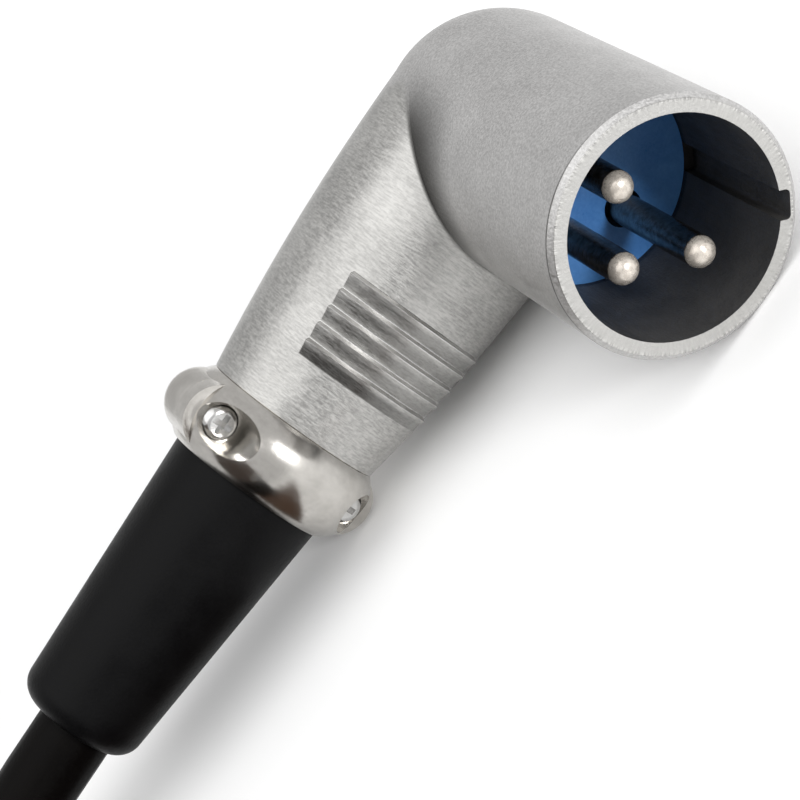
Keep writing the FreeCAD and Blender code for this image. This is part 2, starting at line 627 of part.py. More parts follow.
elbow_shell()
male_insert()
for number, (x, z) in enumerate(PIN_PLACES, start=1):
    contact_pin(number, x, z)
set_screw()
clamp_saddle("clamp_saddle", PLUG)
clamp_screw("clamp_screw_1", PLUG, 1)
clamp_screw("clamp_screw_2", PLUG, -1)
boot("boot", PLUG)
hank()
hank_tie()
socket_shell()
socket_insert()
for number, (y, z) in enumerate(CONTACT_PLACES, start=1):
    socket_contact(number, y, z)
socket_latch()
latch_pin()
latch_spring()
clamp_saddle("socket_saddle", SOCKET)
clamp_screw("socket_clamp_screw_1", SOCKET, 1)
clamp_screw("socket_clamp_screw_2", SOCKET, -1)
boot("socket_boot", SOCKET)

# The cable, from inside the plug to the hank, and from the hank into the socket. The points between
# are offsets from the corner, or from the start of the hank's straight side.
cable = worth("cable_radius")
leave = [place_from(PLUG, "-jacket_entry", "0", "0"), place_from(PLUG, "-69", "0", "0"),
         place_from(HANK, "24", "hank_outer - cable_radius", "cable_radius"),
         place_from(HANK, "0", "hank_outer - cable_radius", "cable_radius")]
top = "(2 * hank_layers - 1) * cable_radius"
arrive = [place_from(HANK, "0", "hank_fold", top), place_from(HANK, "-29", "hank_fold", top),
          place_from(HANK, "-55", "20.5", "21.7"), place_from(HANK, "-79.6", "21.0", "23.2"),
          place_from(HANK, "-93.1", "7.0", "24.7"), place_from(HANK, "-93.1", "-12.2", "26.7"),
          place_from(SOCKET, "-73.8", "0", "0"), place_from(SOCKET, "-jacket_entry", "0", "0")]
tube("cable", leave, cable)
tube("cable_tail", arrive, cable)

# The insulated wires inside each connector. In the plug they cross over the backs of the pins.
wire = worth("wire_radius")
back = "-elbow_depth + insert_depth + insert_thickness + pin_tail"
cup = f"{back} - cup_depth"
high = f"{back} + 4.0"
low = f"{back} + 1.7"
for name, (x, z) in zip(("shield_wire", "hot_wire"), PIN_PLACES):
    tube(name, [place_from(PLUG, "-jacket_entry", "0.6", f"0.4 * {z}"),
                place_from(PLUG, "-17", "0.6", f"0.4 * {z}"), place_from(PLUG, "-9", high, z),
                place_from(PLUG, x, high, z), place_from(PLUG, x, cup, z)], wire)
x, z = PIN_PLACES[2]
tube("cold_wire", [place_from(PLUG, "-jacket_entry", low, z), place_from(PLUG, x, low, z),
                   place_from(PLUG, x, cup, z)], wire)
cup = "socket_start - contact_tail + cup_depth"
for name, (y, z) in zip(("socket_shield_wire", "socket_hot_wire", "socket_cold_wire"), CONTACT_PLACES):
    tube(name, [place_from(SOCKET, "-jacket_entry", f"0.4 * {y}", f"0.4 * {z}"),
                place_from(SOCKET, "-17", f"0.4 * {y}", f"0.4 * {z}"),
                place_from(SOCKET, "-8", y, z), place_from(SOCKET, cup, y, z)], wire)

doc.recompute()
for item in doc.Objects:
    if "Invalid" in item.State or "Error" in item.State:
        raise RuntimeError(f"{item.Label} ({item.Name}) did not build: {item.State}")
for label, piece in made.items():
    shape = piece.Shape
    if shape.isNull() or not shape.isValid() or len(shape.Solids) != 1:
        raise RuntimeError(f"{label} has no single valid solid")

os.makedirs("parts", exist_ok=True)
for label, piece in made.items():
    piece.Shape.exportStep(f"parts/{label}.step")
    print(f"{label}: {piece.Shape.Volume:.1f} mm3")
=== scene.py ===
"""The looks of a balanced audio lead: a right-angle male plug, its cable tied in a hank, and a socket.

Metres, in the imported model's frame: +Z is up, the plug's mouth opens towards -Y and its neck and
cable leave towards -X. The corner is where the barrel's axis and the neck's axis cross.
"""
import logging
import math
from dataclasses import dataclass, field
from enum import Enum
from typing import Callable, Mapping, Optional, Sequence, Union

import bpy
from mathutils import Matrix, Vector


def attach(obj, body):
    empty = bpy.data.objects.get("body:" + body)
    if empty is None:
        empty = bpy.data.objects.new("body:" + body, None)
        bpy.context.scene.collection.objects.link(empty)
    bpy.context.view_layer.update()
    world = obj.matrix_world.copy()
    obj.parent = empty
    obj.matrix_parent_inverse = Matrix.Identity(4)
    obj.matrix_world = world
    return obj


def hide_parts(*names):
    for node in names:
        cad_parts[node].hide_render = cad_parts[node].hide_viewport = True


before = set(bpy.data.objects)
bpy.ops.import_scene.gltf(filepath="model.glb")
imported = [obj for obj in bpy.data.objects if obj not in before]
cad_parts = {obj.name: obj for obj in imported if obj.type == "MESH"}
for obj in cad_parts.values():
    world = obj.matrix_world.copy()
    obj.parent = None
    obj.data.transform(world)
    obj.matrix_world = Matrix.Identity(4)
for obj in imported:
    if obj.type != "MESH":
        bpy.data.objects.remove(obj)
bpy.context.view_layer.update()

LOG = logging.getLogger("audio_lead")
MM = 0.001
Point = tuple[float, float, float]

# The Mix node's sockets for colours, by number.
MIX_FACTOR, MIX_FIRST, MIX_SECOND, MIX_RESULT = 0, 6, 7, 2
# How rough every noise is, and the part of its range that is spread from 0 to 1.
NOISE_ROUGHNESS = 0.6
NOISE_SPREAD = (0.3, 0.7)
# The part of a unit direction along an axis: over the first it lies along it, under the second across.
ALONG = 0.9
ACROSS = 0.1


class Body(Enum):
    """The two bodies that pieces ride on."""

    LEAD = "lead"
    LATCH = "latch"


class Element(Enum):
    """The elements of a mesh that can be picked."""

    EDGE = "EDGE"
    FACE = "FACE"


class Signal:
    """The output of a shader node, on which sums are written as Python expressions."""

    def __init__(self, graph: "Graph", socket: bpy.types.NodeSocket) -> None:
        """Keeps the graph and the socket.

        Args:
            graph: the graph that the socket belongs to.
            socket: the output socket of a node.
        """
        self.graph = graph
        self.socket = socket

    def __add__(self, other: "Value") -> "Signal":
        """This value and another added."""
        return self.graph.math("ADD", self, other)

    def __radd__(self, other: "Value") -> "Signal":
        """Another value and this one added."""
        return self.graph.math("ADD", other, self)

    def __sub__(self, other: "Value") -> "Signal":
        """This value less another."""
        return self.graph.math("SUBTRACT", self, other)

    def __rsub__(self, other: "Value") -> "Signal":
        """Another value less this one."""
        return self.graph.math("SUBTRACT", other, self)

    def __mul__(self, other: "Value") -> "Signal":
        """This value times another."""
        return self.graph.math("MULTIPLY", self, other)

    def __rmul__(self, other: "Value") -> "Signal":
        """Another value times this one."""
        return self.graph.math("MULTIPLY", other, self)

    def __pow__(self, other: "Value") -> "Signal":
        """This value to a power."""
        return self.graph.math("POWER", self, other)

    def ramp(self, low: float, high: float) -> "Signal":
        """A smooth step from 0 at low to 1 at high, or the other way where low is above high.

        Args:
            low: where the step is 0.
            high: where the step is 1.

        Returns:
            The step as a signal from 0 to 1.
        """
        if low > high:
            return 1.0 - self.ramp(high, low)
        inputs = {"Value": self, "From Min": low, "From Max": high}
        return self.graph.node("ShaderNodeMapRange", {"interpolation_type": "SMOOTHSTEP"}, inputs)


Value = Union[float, Sequence[float], Signal]


class Graph:
    """The node tree of one material."""

    def __init__(self, name: str) -> None:
        """Makes an empty material.

        Args:
            name: the material's name.
        """
        self.material = bpy.data.materials.new(name)
        self.material.use_nodes = True
        self.tree = self.material.node_tree
        self.tree.nodes.clear()

    def node(self, kind: str, settings: Optional[Mapping[str, object]] = None,
             inputs: Optional[Mapping[Union[str, int], Value]] = None,
             output: Union[str, int] = 0) -> Optional[Signal]:
        """Adds a node.

        Args:
            kind: the node's type.
            settings: its own settings, set first.
            inputs: the values or links of its sockets, by name or number.
            output: the socket that is handed back.

        Returns:
            The chosen output, or None where the node has none.
        """
        made = self.tree.nodes.new(kind)
        for key, value in (settings or {}).items():
            setattr(made, key, value)
        for key, value in (inputs or {}).items():
            if isinstance(value, Signal):
                self.tree.links.new(value.socket, made.inputs[key])
            else:
                made.inputs[key].default_value = value
        return Signal(self, made.outputs[output]) if made.outputs else None

    def math(self, operation: str, first: Value, second: Value = 0.0) -> Signal:
        """One sum of two values."""
        return self.node("ShaderNodeMath", {"operation": operation}, {0: first, 1: second})

    def blend(self, factor: Value, first: Value, second: Value) -> Signal:
        """A colour between two colours.

        Args:
            factor: 0 for the first and 1 for the second.
            first: a colour.
            second: a colour.

        Returns:
            The colour.
        """
        settings = {"data_type": "RGBA", "clamp_factor": True}
        inputs = {MIX_FACTOR: factor, MIX_FIRST: paint(first), MIX_SECOND: paint(second)}
        return self.node("ShaderNodeMix", settings, inputs, MIX_RESULT)

    def place(self) -> Signal:
        """The point on the piece, in the model's frame."""
        return self.node("ShaderNodeTexCoord", output="Object")

    def axes(self, origin: Point = (0.0, 0.0, 0.0)) -> tuple[Signal, Signal, Signal]:
        """The three coordinates of the point, in millimetres from an origin.

        Args:
            origin: the origin, in metres.

        Returns:
            The three coordinates.
        """
        apart = [self.node("ShaderNodeSeparateXYZ", None, {0: self.place()}, axis) for axis in "XYZ"]
        return tuple((part - start) * (1 / MM) for part, start in zip(apart, origin))

    def vector(self, x: Value, y: Value, z: Value = 0.0) -> Signal:
        """Three values as one vector."""
        return self.node("ShaderNodeCombineXYZ", None, {0: x, 1: y, 2: z})

    def noise(self, grain: float, detail: float = 3.0, stretch: Point = (1.0, 1.0, 1.0)) -> Signal:
        """Even noise from 0 to 1.

        Args:
            grain: the size of a grain, in millimetres.
            detail: the number of finer layers.
            stretch: how much longer a grain is along each axis.

        Returns:
            The noise.
        """
        squeeze = [1.0 / (part * grain * MM) for part in stretch]
        where = self.node("ShaderNodeMapping", None, {"Vector": self.place(), "Scale": squeeze})
        return self.noise_at(where, detail)

    def noise_at(self, where: Signal, detail: float = 3.0) -> Signal:
        """Noise read at a vector whose unit is one grain, spread to the whole way from 0 to 1.

        Args:
            where: the vector.
            detail: the number of finer layers.

        Returns:
            The noise.
        """
        inputs = {"Vector": where, "Scale": 1.0, "Detail": detail, "Roughness": NOISE_ROUGHNESS}
        return self.node("ShaderNodeTexNoise", None, inputs).ramp(*NOISE_SPREAD)

    def bump(self, height: Value, depth: float) -> Signal:
        """The normal of a surface with fine relief.

        Args:
            height: the relief, from 0 to 1.
            depth: how deep it is, in millimetres.

        Returns:
            The normal.
        """
        return self.node("ShaderNodeBump", None, {"Distance": depth * MM, "Height": height})

    def close(self, **sockets: Value) -> bpy.types.Material:
        """Ends the graph in one shader.

        Args:
            **sockets: the shader's sockets, with underscores for spaces.

        Returns:
            The material.
        """
        inputs = {key.replace("_", " "): paint(value) if "Color" in key else value
                  for key, value in sockets.items()}
        shader = self.node("ShaderNodeBsdfPrincipled", None, inputs)
        self.node("ShaderNodeOutputMaterial", None, {"Surface": shader})
        return self.material


def paint(value: Value) -> Value:
    """A colour with its fourth number, or the link or number itself.

    Args:
        value: a colour, a link or a number.

    Returns:
        The four numbers of the colour, or what came in.
    """
    if isinstance(value, Signal) or not hasattr(value, "__len__"):
        return value
    return (*value, 1.0) if len(value) == 3 else value


def shade(red: int, green: int, blue: int) -> Point:
    """The linear colour of a screen colour from 0 to 255."""
    parts = (red / 255, green / 255, blue / 255)
    return tuple(((part + 0.055) / 1.055) ** 2.4 if part > 0.04045 else part / 12.92 for part in parts)


@dataclass(frozen=True)
class CastNickel:
    """Satin nickel over the cast right-angle shell: blasted barrel, brushed neck, bright rim, bore in
    painted shade.

    Its lengths are in millimetres from the corner, its angles in radians over the neck's axis.
    """

    corner: Point = (23.8 * MM, 10.1 * MM, 9.5 * MM)
    barrel_radius: float = 9.5
    bore_radius: float = 9.0
    bore_end: float = -2.0
    mouth: float = -29.7
    insert: float = -14.8
    collar: float = -27.6
    crease_start: float = 9.6
    crease_end: float = 15.0
    rib_start: float = 15.4
    rib_pitch: float = 1.5
    rib_count: int = 5
    rib_top: float = 0.82
    rib_side: float = 0.1
    rib_foot: float = -1.1
    brush_marks: Point = (7.0, 10.0, 0.4)
    mill_marks: float = 46.0
    depth: float = 0.011
    blasted: tuple[Point, Point] = (shade(172, 171, 170), shade(212, 211, 210))
    brushed: tuple[Point, Point] = (shade(146, 145, 143), shade(204, 203, 200))
    milled: tuple[Point, Point] = (shade(150, 149, 147), shade(214, 213, 210))
    polished: tuple[Point, Point] = (shade(176, 173, 168), shade(204, 201, 196))
    bore_shade: tuple[Point, Point] = (shade(50, 49, 48), shade(76, 75, 74))
    # The painted shade for the crease, the ribs' slopes and the line behind the rim, then the ribs'
    # painted highlight.
    painted_shade: Point = shade(74, 73, 71)
    painted_glint: Point = shade(244, 243, 241)
    gap: Point = shade(9, 9, 10)

    def material(self) -> bpy.types.Material:
        """Builds the material.

        Returns:
            The material.
        """
        g = Graph("cast_nickel")
        x, y, z = g.axes(self.corner)
        radius = (x * x + z * z) ** 0.5
        side = 1.0 - radius.ramp(self.barrel_radius + 0.02, self.barrel_radius + 0.25)
        barrel = side * x.ramp(-self.barrel_radius - 2.5, -self.barrel_radius + 2.0)
        inside = radius.ramp(self.bore_radius + 0.05, self.bore_radius)
        inside = inside * y.ramp(self.mouth + 0.01, self.mouth + 0.06)
        inside = inside * y.ramp(self.bore_end + 1.0, self.bore_end)
        rim = y.ramp(self.mouth + 0.08, self.mouth + 0.03)
        collar = x.ramp(self.collar + 0.1, self.collar - 0.1)
        grain = g.noise(0.2, 4.0)
        cloud = g.noise(4.0, 4.0)
        turn = g.math("ARCTAN2", z, y * -1.0)
        along, around, across = self.brush_marks
        brushing = g.noise_at(g.vector(x * along, turn * around, y * across), 4.0)
        ticks = g.noise_at(g.vector(g.math("ARCTAN2", z, x) * self.mill_marks, radius * 1.2), 3.0)
        outer = radius.ramp(self.bore_radius - 0.2, self.bore_radius + 0.15)
        ticks = 0.55 + (ticks - 0.5) * (outer * 0.85 + 0.15)
        # The brushed neck, its ribs with painted shade and painted highlights, the blasted barrel with
        # painted shade along the crease at its corner, and the collar.
        skin = g.blend(brushing * 0.55 + cloud * 0.25 + grain * 0.2, *self.brushed)
        slopes, ridges = self.ribs(g, x, y, z)
        # Painted shade on the ribs' slopes and a painted highlight on their ridges.
        skin = g.blend(slopes * 0.42, skin, self.painted_shade)
        skin = g.blend(ridges * 0.8, skin, self.painted_glint)
        # Painted shade along the crease where the barrel meets the neck.
        crease_shade = ((y * y + z * z) ** 0.5).ramp(self.crease_end, self.crease_start)
        crease_shade = crease_shade * x.ramp(1.0, -5.0) * y.ramp(2.0, -4.0)
        sandy = g.blend(grain * 0.7 + cloud * 0.2 + 0.05, *self.blasted)
        skin = g.blend(barrel, skin, g.blend(crease_shade * 0.95, sandy, self.painted_shade))
        skin = g.blend(collar, skin, g.blend(cloud, *self.polished))
        # A painted shadow line behind the mouth's rim on the -X side, the milled rim, the bore in painted
        # shade, and the gap round the insert.
        edge = y.ramp(self.mouth + 0.36, self.mouth + 0.42) * y.ramp(self.mouth + 0.62, self.mouth + 0.5)
        skin = g.blend(edge * x.ramp(4.0, -4.0) * (1.0 - inside) * 0.8, skin, self.painted_shade)
        skin = g.blend(rim, skin, g.blend(ticks, *self.milled))
        # The bore is painted dark and made nearly non-metallic: painted shade inside the mouth.
        skin = g.blend(inside, skin, g.blend(grain * 0.4 + cloud * 0.6, *self.bore_shade))
        skin = g.blend(inside * y.ramp(self.insert - 0.75, self.insert - 0.35), skin, self.gap)
        rough = 0.38 + barrel * 0.12 + (grain - 0.5) * 0.08 + (brushing - 0.5) * 0.12
        rough = rough - collar * 0.2 - rim * 0.08
        relief = grain * (0.3 + barrel * 0.7) + brushing * (1.0 - barrel) * 0.7 + ticks * rim * 1.5
        return g.close(Base_Color=skin, Metallic=1.0 - inside * 0.9, Roughness=rough,
                       Normal=g.bump(relief * (1.0 - collar * 0.8), self.depth))

    def ribs(self, g: Graph, x: Signal, y: Signal, z: Signal) -> tuple[Signal, Signal]:
        """Where the neck's ribs have their slopes, which get painted shade, and their ridges, which get a
        painted highlight.

        Args:
            g: the graph.
            x: the distance from the corner along the neck.
            y: the distance across it, towards the back.
            z: the height over its axis.

        Returns:
            The mask of the painted shade on the slopes and the mask of the painted highlight on the
            ridges.
        """
        along = (x * -1.0 - self.rib_start) * (1 / self.rib_pitch)
        row = along.ramp(0.0, 0.05) * along.ramp(self.rib_count, self.rib_count - 0.05)
        slope = g.math("FRACT", along)
        turn = g.math("ARCTAN2", z, g.math("ABSOLUTE", y))
        rise = turn.ramp(self.rib_foot, self.rib_side) * 0.7
        rise = rise + turn.ramp(self.rib_foot, self.rib_foot + 0.1) * 0.3
        span = turn.ramp(self.rib_top, self.rib_top - 0.03) * rise
        # The last groove gets more painted shade and less painted highlight, for the shadow at its step.
        last = along.ramp(self.rib_count - 1.05, self.rib_count - 0.95)
        slopes = row * span * slope.ramp(0.25, 0.5) * slope.ramp(1.0, 0.95) * (1.0 + last * 0.7)
        ridges = row * span * (slope.ramp(0.24, 0.16) + slope.ramp(0.97, 1.0)) * (1.0 - last * 0.5)
        return slopes, ridges


@dataclass(frozen=True)
class TurnedNickel:
    """Satin nickel on the straight socket's shell."""

    colour: Point = shade(202, 200, 197)
    worn: Point = shade(180, 178, 174)
    roughness: float = 0.26
    depth: float = 0.01

    def material(self) -> bpy.types.Material:
        """Builds the material.

        Returns:
            The material.
        """
        g = Graph("turned_nickel")
        grain = g.noise(0.16, 4.0)
        brushing = g.noise(0.25, 4.0, (1.0, 9.0, 9.0))
        skin = g.blend(g.noise(5.0) * 0.4 + brushing * 0.3, self.colour, self.worn)
        rough = self.roughness + (grain - 0.5) * 0.12
        return g.close(Base_Color=skin, Metallic=1.0, Roughness=rough,
                       Normal=g.bump(grain * 0.5 + brushing * 0.5, self.depth))


@dataclass(frozen=True)
class PolishedMetal:
    """Bright metal with hairline scratches."""

    name: str
    colour: Point
    worn: Point
    roughness: float = 0.14
    grain: float = 0.6
    depth: float = 0.004

    def material(self) -> bpy.types.Material:
        """Builds the material.

        Returns:
            The material.
        """
        g = Graph(self.name)
        wear = g.noise(self.grain * 4, 5.0)
        scratch = g.noise(self.grain, 5.0, (1.0, 7.0, 2.0))
        skin = g.blend(wear * 0.6 + scratch * 0.3, self.colour, self.worn)
        rough = self.roughness + (wear - 0.5) * 0.06 + (scratch - 0.5) * 0.06
        return g.close(Base_Color=skin, Metallic=1.0, Roughness=rough,
                       Normal=g.bump(scratch, self.depth))


@dataclass(frozen=True)
class DomedPin:
    """Silvered pins: frosted tips painted bright, shafts painted dark as a painted reflection of the dark
    bore, turning marks, and a painted shadow at the root.

    The dome's base and the root are in millimetres along the model's Y.
    """

    dome_base: float = -16.8
    root: float = -4.7
    shadow: Point = shade(16, 26, 38)
    # The shafts' painted dark reflection and the tips' painted highlight.
    dark: Point = shade(104, 92, 78)
    bright: Point = shade(226, 218, 208)
    turning: Point = (0.6, 9.0, 0.6)
    roughness: float = 0.22
    depth: float = 0.006

    def material(self) -> bpy.types.Material:
        """Builds the material.

        Returns:
            The material.
        """
        g = Graph("silvered_pin")
        x, y, z = g.axes()
        dome = y.ramp(self.dome_base - 0.1, self.dome_base - 0.4)
        wear = g.noise(0.5, 4.0)
        marks = [value * share for value, share in zip((x, y, z), self.turning)]
        # Painted light: the domes are painted bright and the shafts dark, for the dark bore they mirror.
        skin = g.blend(wear * 0.35 + dome * 0.65, self.dark, self.bright)
        skin = g.blend(y.ramp(self.root - 0.08, self.root - 0.04), skin, self.shadow)
        rough = self.roughness + dome * 0.06 + (wear - 0.5) * 0.1
        return g.close(Base_Color=skin, Metallic=1.0 - dome * 0.42, Roughness=rough,
                       Normal=g.bump(g.noise_at(g.vector(*marks), 3.0), self.depth))


@dataclass(frozen=True)
class MouldedPlastic:
    """Moulded plastic or rubber with a fine spark-eroded grain."""

    name: str
    colour: Point
    light: Point
    roughness: float = 0.4
    grain: float = 0.22
    depth: float = 0.006
    shine: float = 0.5

    def material(self) -> bpy.types.Material:
        """Builds the material.

        Returns:
            The material.
        """
        g = Graph(self.name)
        grain = g.noise(self.grain, 4.0)
        cloud = g.noise(self.grain * 18, 3.0)
        skin = g.blend(cloud * 0.6 + grain * 0.3, self.colour, self.light)
        rough = self.roughness + (cloud - 0.5) * 0.1 + (grain - 0.5) * 0.08
        return g.close(Base_Color=skin, Roughness=rough, Specular_IOR_Level=self.shine,
                       Normal=g.bump(grain, self.depth))


@dataclass(frozen=True)
class WovenTape:
    """Black hook-and-loop tape with a short pile."""

    colour: Point = shade(24, 24, 26)
    light: Point = shade(52, 52, 55)
    threads: float = 9.0
    depth: float = 0.12

    def material(self) -> bpy.types.Material:
        """Builds the material.

        Returns:
            The material.
        """
        g = Graph("woven_tape")
        pile = g.noise(0.5, 5.0)
        thread = g.math("SINE", g.axes()[0] * self.threads) * 0.5 + 0.5
        weave = pile * 0.7 + thread * 0.3
        skin = g.blend(weave, self.colour, self.light)
        return g.close(Base_Color=skin, Roughness=0.8 + (pile - 0.5) * 0.2,
                       Normal=g.bump(weave, self.depth))


@dataclass
class FinishBook:
    """The finish of each of the record's material slots, by the slot's name."""

    made: dict[str, bpy.types.Material] = field(default_factory=dict)

    def build(self) -> None:
        """Builds every finish once."""
        self.made["satin_nickel"] = CastNickel().material()
        self.made["turned_nickel"] = TurnedNickel().material()
        self.made["silvered_pin"] = DomedPin().material()
        self.made["tie_fabric"] = WovenTape().material()
        for finish in self.metals() + self.plastics():
            self.made[finish.name] = finish.material()

    @staticmethod
    def metals() -> list[PolishedMetal]:
        """The bright metals.

        Returns:
            Their finishes.
        """
        return [
            PolishedMetal("polished_nickel", shade(204, 201, 196), shade(176, 173, 168), roughness=0.2),
            PolishedMetal("silvered_contact", shade(232, 229, 224), shade(196, 192, 186), roughness=0.18),
            PolishedMetal("screw_steel", shade(226, 226, 226), shade(170, 168, 164), roughness=0.2),
            PolishedMetal("spring_steel", shade(170, 174, 180), shade(130, 132, 136), roughness=0.3),
            PolishedMetal("bare_copper", shade(214, 130, 84), shade(160, 92, 60), roughness=0.35),
        ]

    @staticmethod
    def plastics() -> list[MouldedPlastic]:
        """The plastics, the rubber and the cable's jacket.

        Returns:
            Their finishes.
        """
        return [
            MouldedPlastic("blue_plastic", shade(58, 112, 176), shade(80, 136, 198), roughness=0.36),
            MouldedPlastic("black_plastic", shade(20, 20, 22), shade(36, 36, 38), roughness=0.42),
            MouldedPlastic("boot_rubber", shade(5, 5, 6), shade(11, 11, 12), roughness=0.42, shine=0.1),
            MouldedPlastic("cable_jacket", shade(4, 3, 3), shade(10, 8, 7), roughness=0.44, grain=0.3,
                           shine=0.06),
            MouldedPlastic("red_wire", shade(160, 24, 22), shade(190, 44, 36), roughness=0.45),
            MouldedPlastic("white_wire", shade(216, 214, 206), shade(236, 234, 228), roughness=0.45),
        ]

    def dress(self, piece: bpy.types.Object, name: str) -> None:
        """Gives a piece one finish all over.

        Args:
            piece: the piece.
            name: the finish.
        """
        piece.data.materials.clear()
        piece.data.materials.append(self.made[name])

    def dress_nodes(self, groups: Mapping[str, Sequence[str]]) -> None:
        """Gives the CAD nodes their finishes.

        Args:
            groups: the nodes of each finish.
        """
        for name, nodes in groups.items():
            for node in nodes:
                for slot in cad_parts[node].material_slots:
                    slot.material = self.made[name]
                LOG.info("%s is finished in %s", node, name)


def alone(piece: bpy.types.Object) -> None:
    """Makes a piece the only one that is selected, and active, in object mode.

    Args:
        piece: the piece.
    """
    if bpy.context.mode != "OBJECT":
        bpy.ops.object.mode_set(mode="OBJECT")
    bpy.ops.object.select_all(action="DESELECT")
    piece.select_set(True)
    bpy.context.view_layer.objects.active = piece


def block(name: str, centre: Point, size: Point) -> bpy.types.Object:
    """A block with its origin at the model's, to be worked further.

    Args:
        name: its name.
        centre: its middle.
        size: its three sides.

    Returns:
        The block.
    """
    bpy.ops.object.select_all(action="DESELECT")
    bpy.ops.mesh.primitive_cube_add(size=1.0, location=centre, scale=size)
    piece = bpy.context.object
    piece.name = name
    bpy.ops.object.transform_apply(location=True, rotation=True, scale=True)
    return piece


def pick(piece: bpy.types.Object, kind: Element, test: Callable[[Vector, Vector], bool]) -> None:
    """Selects the edges or faces that pass a test, and stays in edit mode.

    Args:
        piece: the piece.
        kind: which elements are picked.
        test: takes an edge's middle and direction, or a face's centre and normal.
    """
    alone(piece)
    bpy.ops.object.mode_set(mode="EDIT")
    bpy.ops.mesh.select_mode(type=kind.value)
    bpy.ops.mesh.select_all(action="DESELECT")
    bpy.ops.object.mode_set(mode="OBJECT")
    mesh = piece.data
    if kind is Element.FACE:
        for face in mesh.polygons:
            face.select = test(face.center, face.normal)
    else:
        for edge in mesh.edges:
            start, end = (mesh.vertices[index].co for index in edge.vertices)
            edge.select = test((start + end) / 2, (end - start).normalized())
    bpy.ops.object.mode_set(mode="EDIT")


def settle(piece: bpy.types.Object, angle: float = 35.0) -> None:
    """Leaves edit mode with the normals outwards and the smooth faces shaded smooth.

    Args:
        piece: the piece.
        angle: the angle in degrees from which an edge stays sharp.
    """
    alone(piece)
    bpy.ops.object.mode_set(mode="EDIT")
    bpy.ops.mesh.select_all(action="SELECT")
    bpy.ops.mesh.normals_make_consistent(inside=False)
    bpy.ops.object.mode_set(mode="OBJECT")
    bpy.ops.object.shade_smooth_by_angle(angle=math.radians(angle))


@dataclass
class HankStrap:
    """The hook-and-loop strap round one side of the hank, its free end on top with a stitched hem."""

    finishes: FinishBook
    left: float = -110.3 * MM
    right: float = -94.3 * MM
    near: float = -6.45 * MM
    back: float = 14.05 * MM
    top: float = 20.5 * MM
    gauge: float = 0.8 * MM
    corner: float = 3.9 * MM
    edge_round: float = 0.22 * MM
    flap_start: float = 4.0 * MM
    flap_reach: float = 12.5 * MM
    flap_narrowing: float = 0.6 * MM
    flap_round: float = 3.2 * MM
    flap_edge_round: float = 0.25 * MM
    hem: float = 1.1 * MM
    hem_depth: float = 0.12 * MM
    stitches: int = 9
    stitch_line: float = 2.2 * MM
    stitch_margin: float = 2.0 * MM
    stitch_size: Point = (1.1 * MM, 0.42 * MM, 0.4 * MM)
    stitch_round: float = 0.12 * MM

    def band(self) -> bpy.types.Object:
        """The band: a rounded tube of tape, open at both sides.

        Returns:
            The band, in edit mode.
        """
        middle = ((self.left + self.right) / 2, (self.near + self.back) / 2, self.top / 2)
        band = block("hank_strap", middle, (self.right - self.left, self.back - self.near, self.top))
        pick(band, Element.EDGE, lambda place, way: abs(way.x) > ALONG)
        bpy.ops.mesh.bevel(offset=self.corner, segments=7, affect="EDGES")
        pick(band, Element.FACE, lambda place, normal: abs(normal.x) > ALONG)
        bpy.ops.mesh.delete(type="FACE")
        bpy.ops.object.mode_set(mode="OBJECT")
        shell = band.modifiers.new("thickness", "SOLIDIFY")
        shell.thickness = self.gauge
        shell.offset = -1.0
        shell.use_even_offset = True
        bpy.ops.object.modifier_apply(modifier=shell.name)
        pick(band, Element.EDGE, lambda place, way: abs(way.x) < ACROSS
             and min(abs(place.x - self.left), abs(place.x - self.right)) < 0.01 * MM)
        bpy.ops.mesh.bevel(offset=self.edge_round, segments=2, affect="EDGES")
        return band

    def flap(self) -> bpy.types.Object:
        """The free end: a rounded tongue that lies on the band.

        Returns:
            The free end.
        """
        start = (self.near + self.back) / 2 + self.flap_start
        end = start - self.flap_reach
        width = self.right - self.left - self.flap_narrowing
        middle = ((self.left + self.right) / 2, start - self.flap_reach / 2, self.top + self.gauge / 2)
        flap = block("strap_end", middle, (width, self.flap_reach, self.gauge))
        pick(flap, Element.EDGE,
             lambda place, way: abs(way.z) > ALONG and abs(place.y - end) < 0.1 * MM)
        bpy.ops.mesh.bevel(offset=self.flap_round, segments=6, affect="EDGES")
        pick(flap, Element.EDGE,
             lambda place, way: abs(way.z) < ACROSS and place.z > self.top + 0.7 * self.gauge)
        bpy.ops.mesh.bevel(offset=self.flap_edge_round, segments=2, affect="EDGES")
        pick(flap, Element.FACE, lambda place, normal: normal.z > 0.99)
        bpy.ops.mesh.inset(thickness=self.hem, depth=-self.hem_depth)
        bpy.ops.object.mode_set(mode="OBJECT")
        return flap

    def stitch(self, index: int) -> bpy.types.Object:
        """One stitch of the hem.

        Args:
            index: its number from 0.

        Returns:
            The stitch.
        """
        line = (self.near + self.back) / 2 + self.stitch_line
        step = (self.right - self.left - 2 * self.stitch_margin) / (self.stitches - 1)
        place = (self.left + self.stitch_margin + index * step, line, self.top + self.gauge)
        stitch = block(f"stitch_{index}", place, self.stitch_size)
        pick(stitch, Element.EDGE, lambda middle, way: True)
        bpy.ops.mesh.bevel(offset=self.stitch_round, segments=2, affect="EDGES")
        bpy.ops.object.mode_set(mode="OBJECT")
        return stitch

    def build(self) -> bpy.types.Object:
        """Makes the strap in place of the model's plain one.

        Returns:
            The strap.
        """
        strap = self.band()
        bpy.ops.object.mode_set(mode="OBJECT")
        parts = [self.flap()] + [self.stitch(index) for index in range(self.stitches)]
        alone(strap)
        for part in parts:
            part.select_set(True)
        bpy.ops.object.join()
        settle(strap)
        self.finishes.dress(strap, "tie_fabric")
        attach(strap, Body.LEAD.value)
        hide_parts("hank_tie")
        LOG.info("hank_strap has %d faces", len(strap.data.polygons))
        return strap


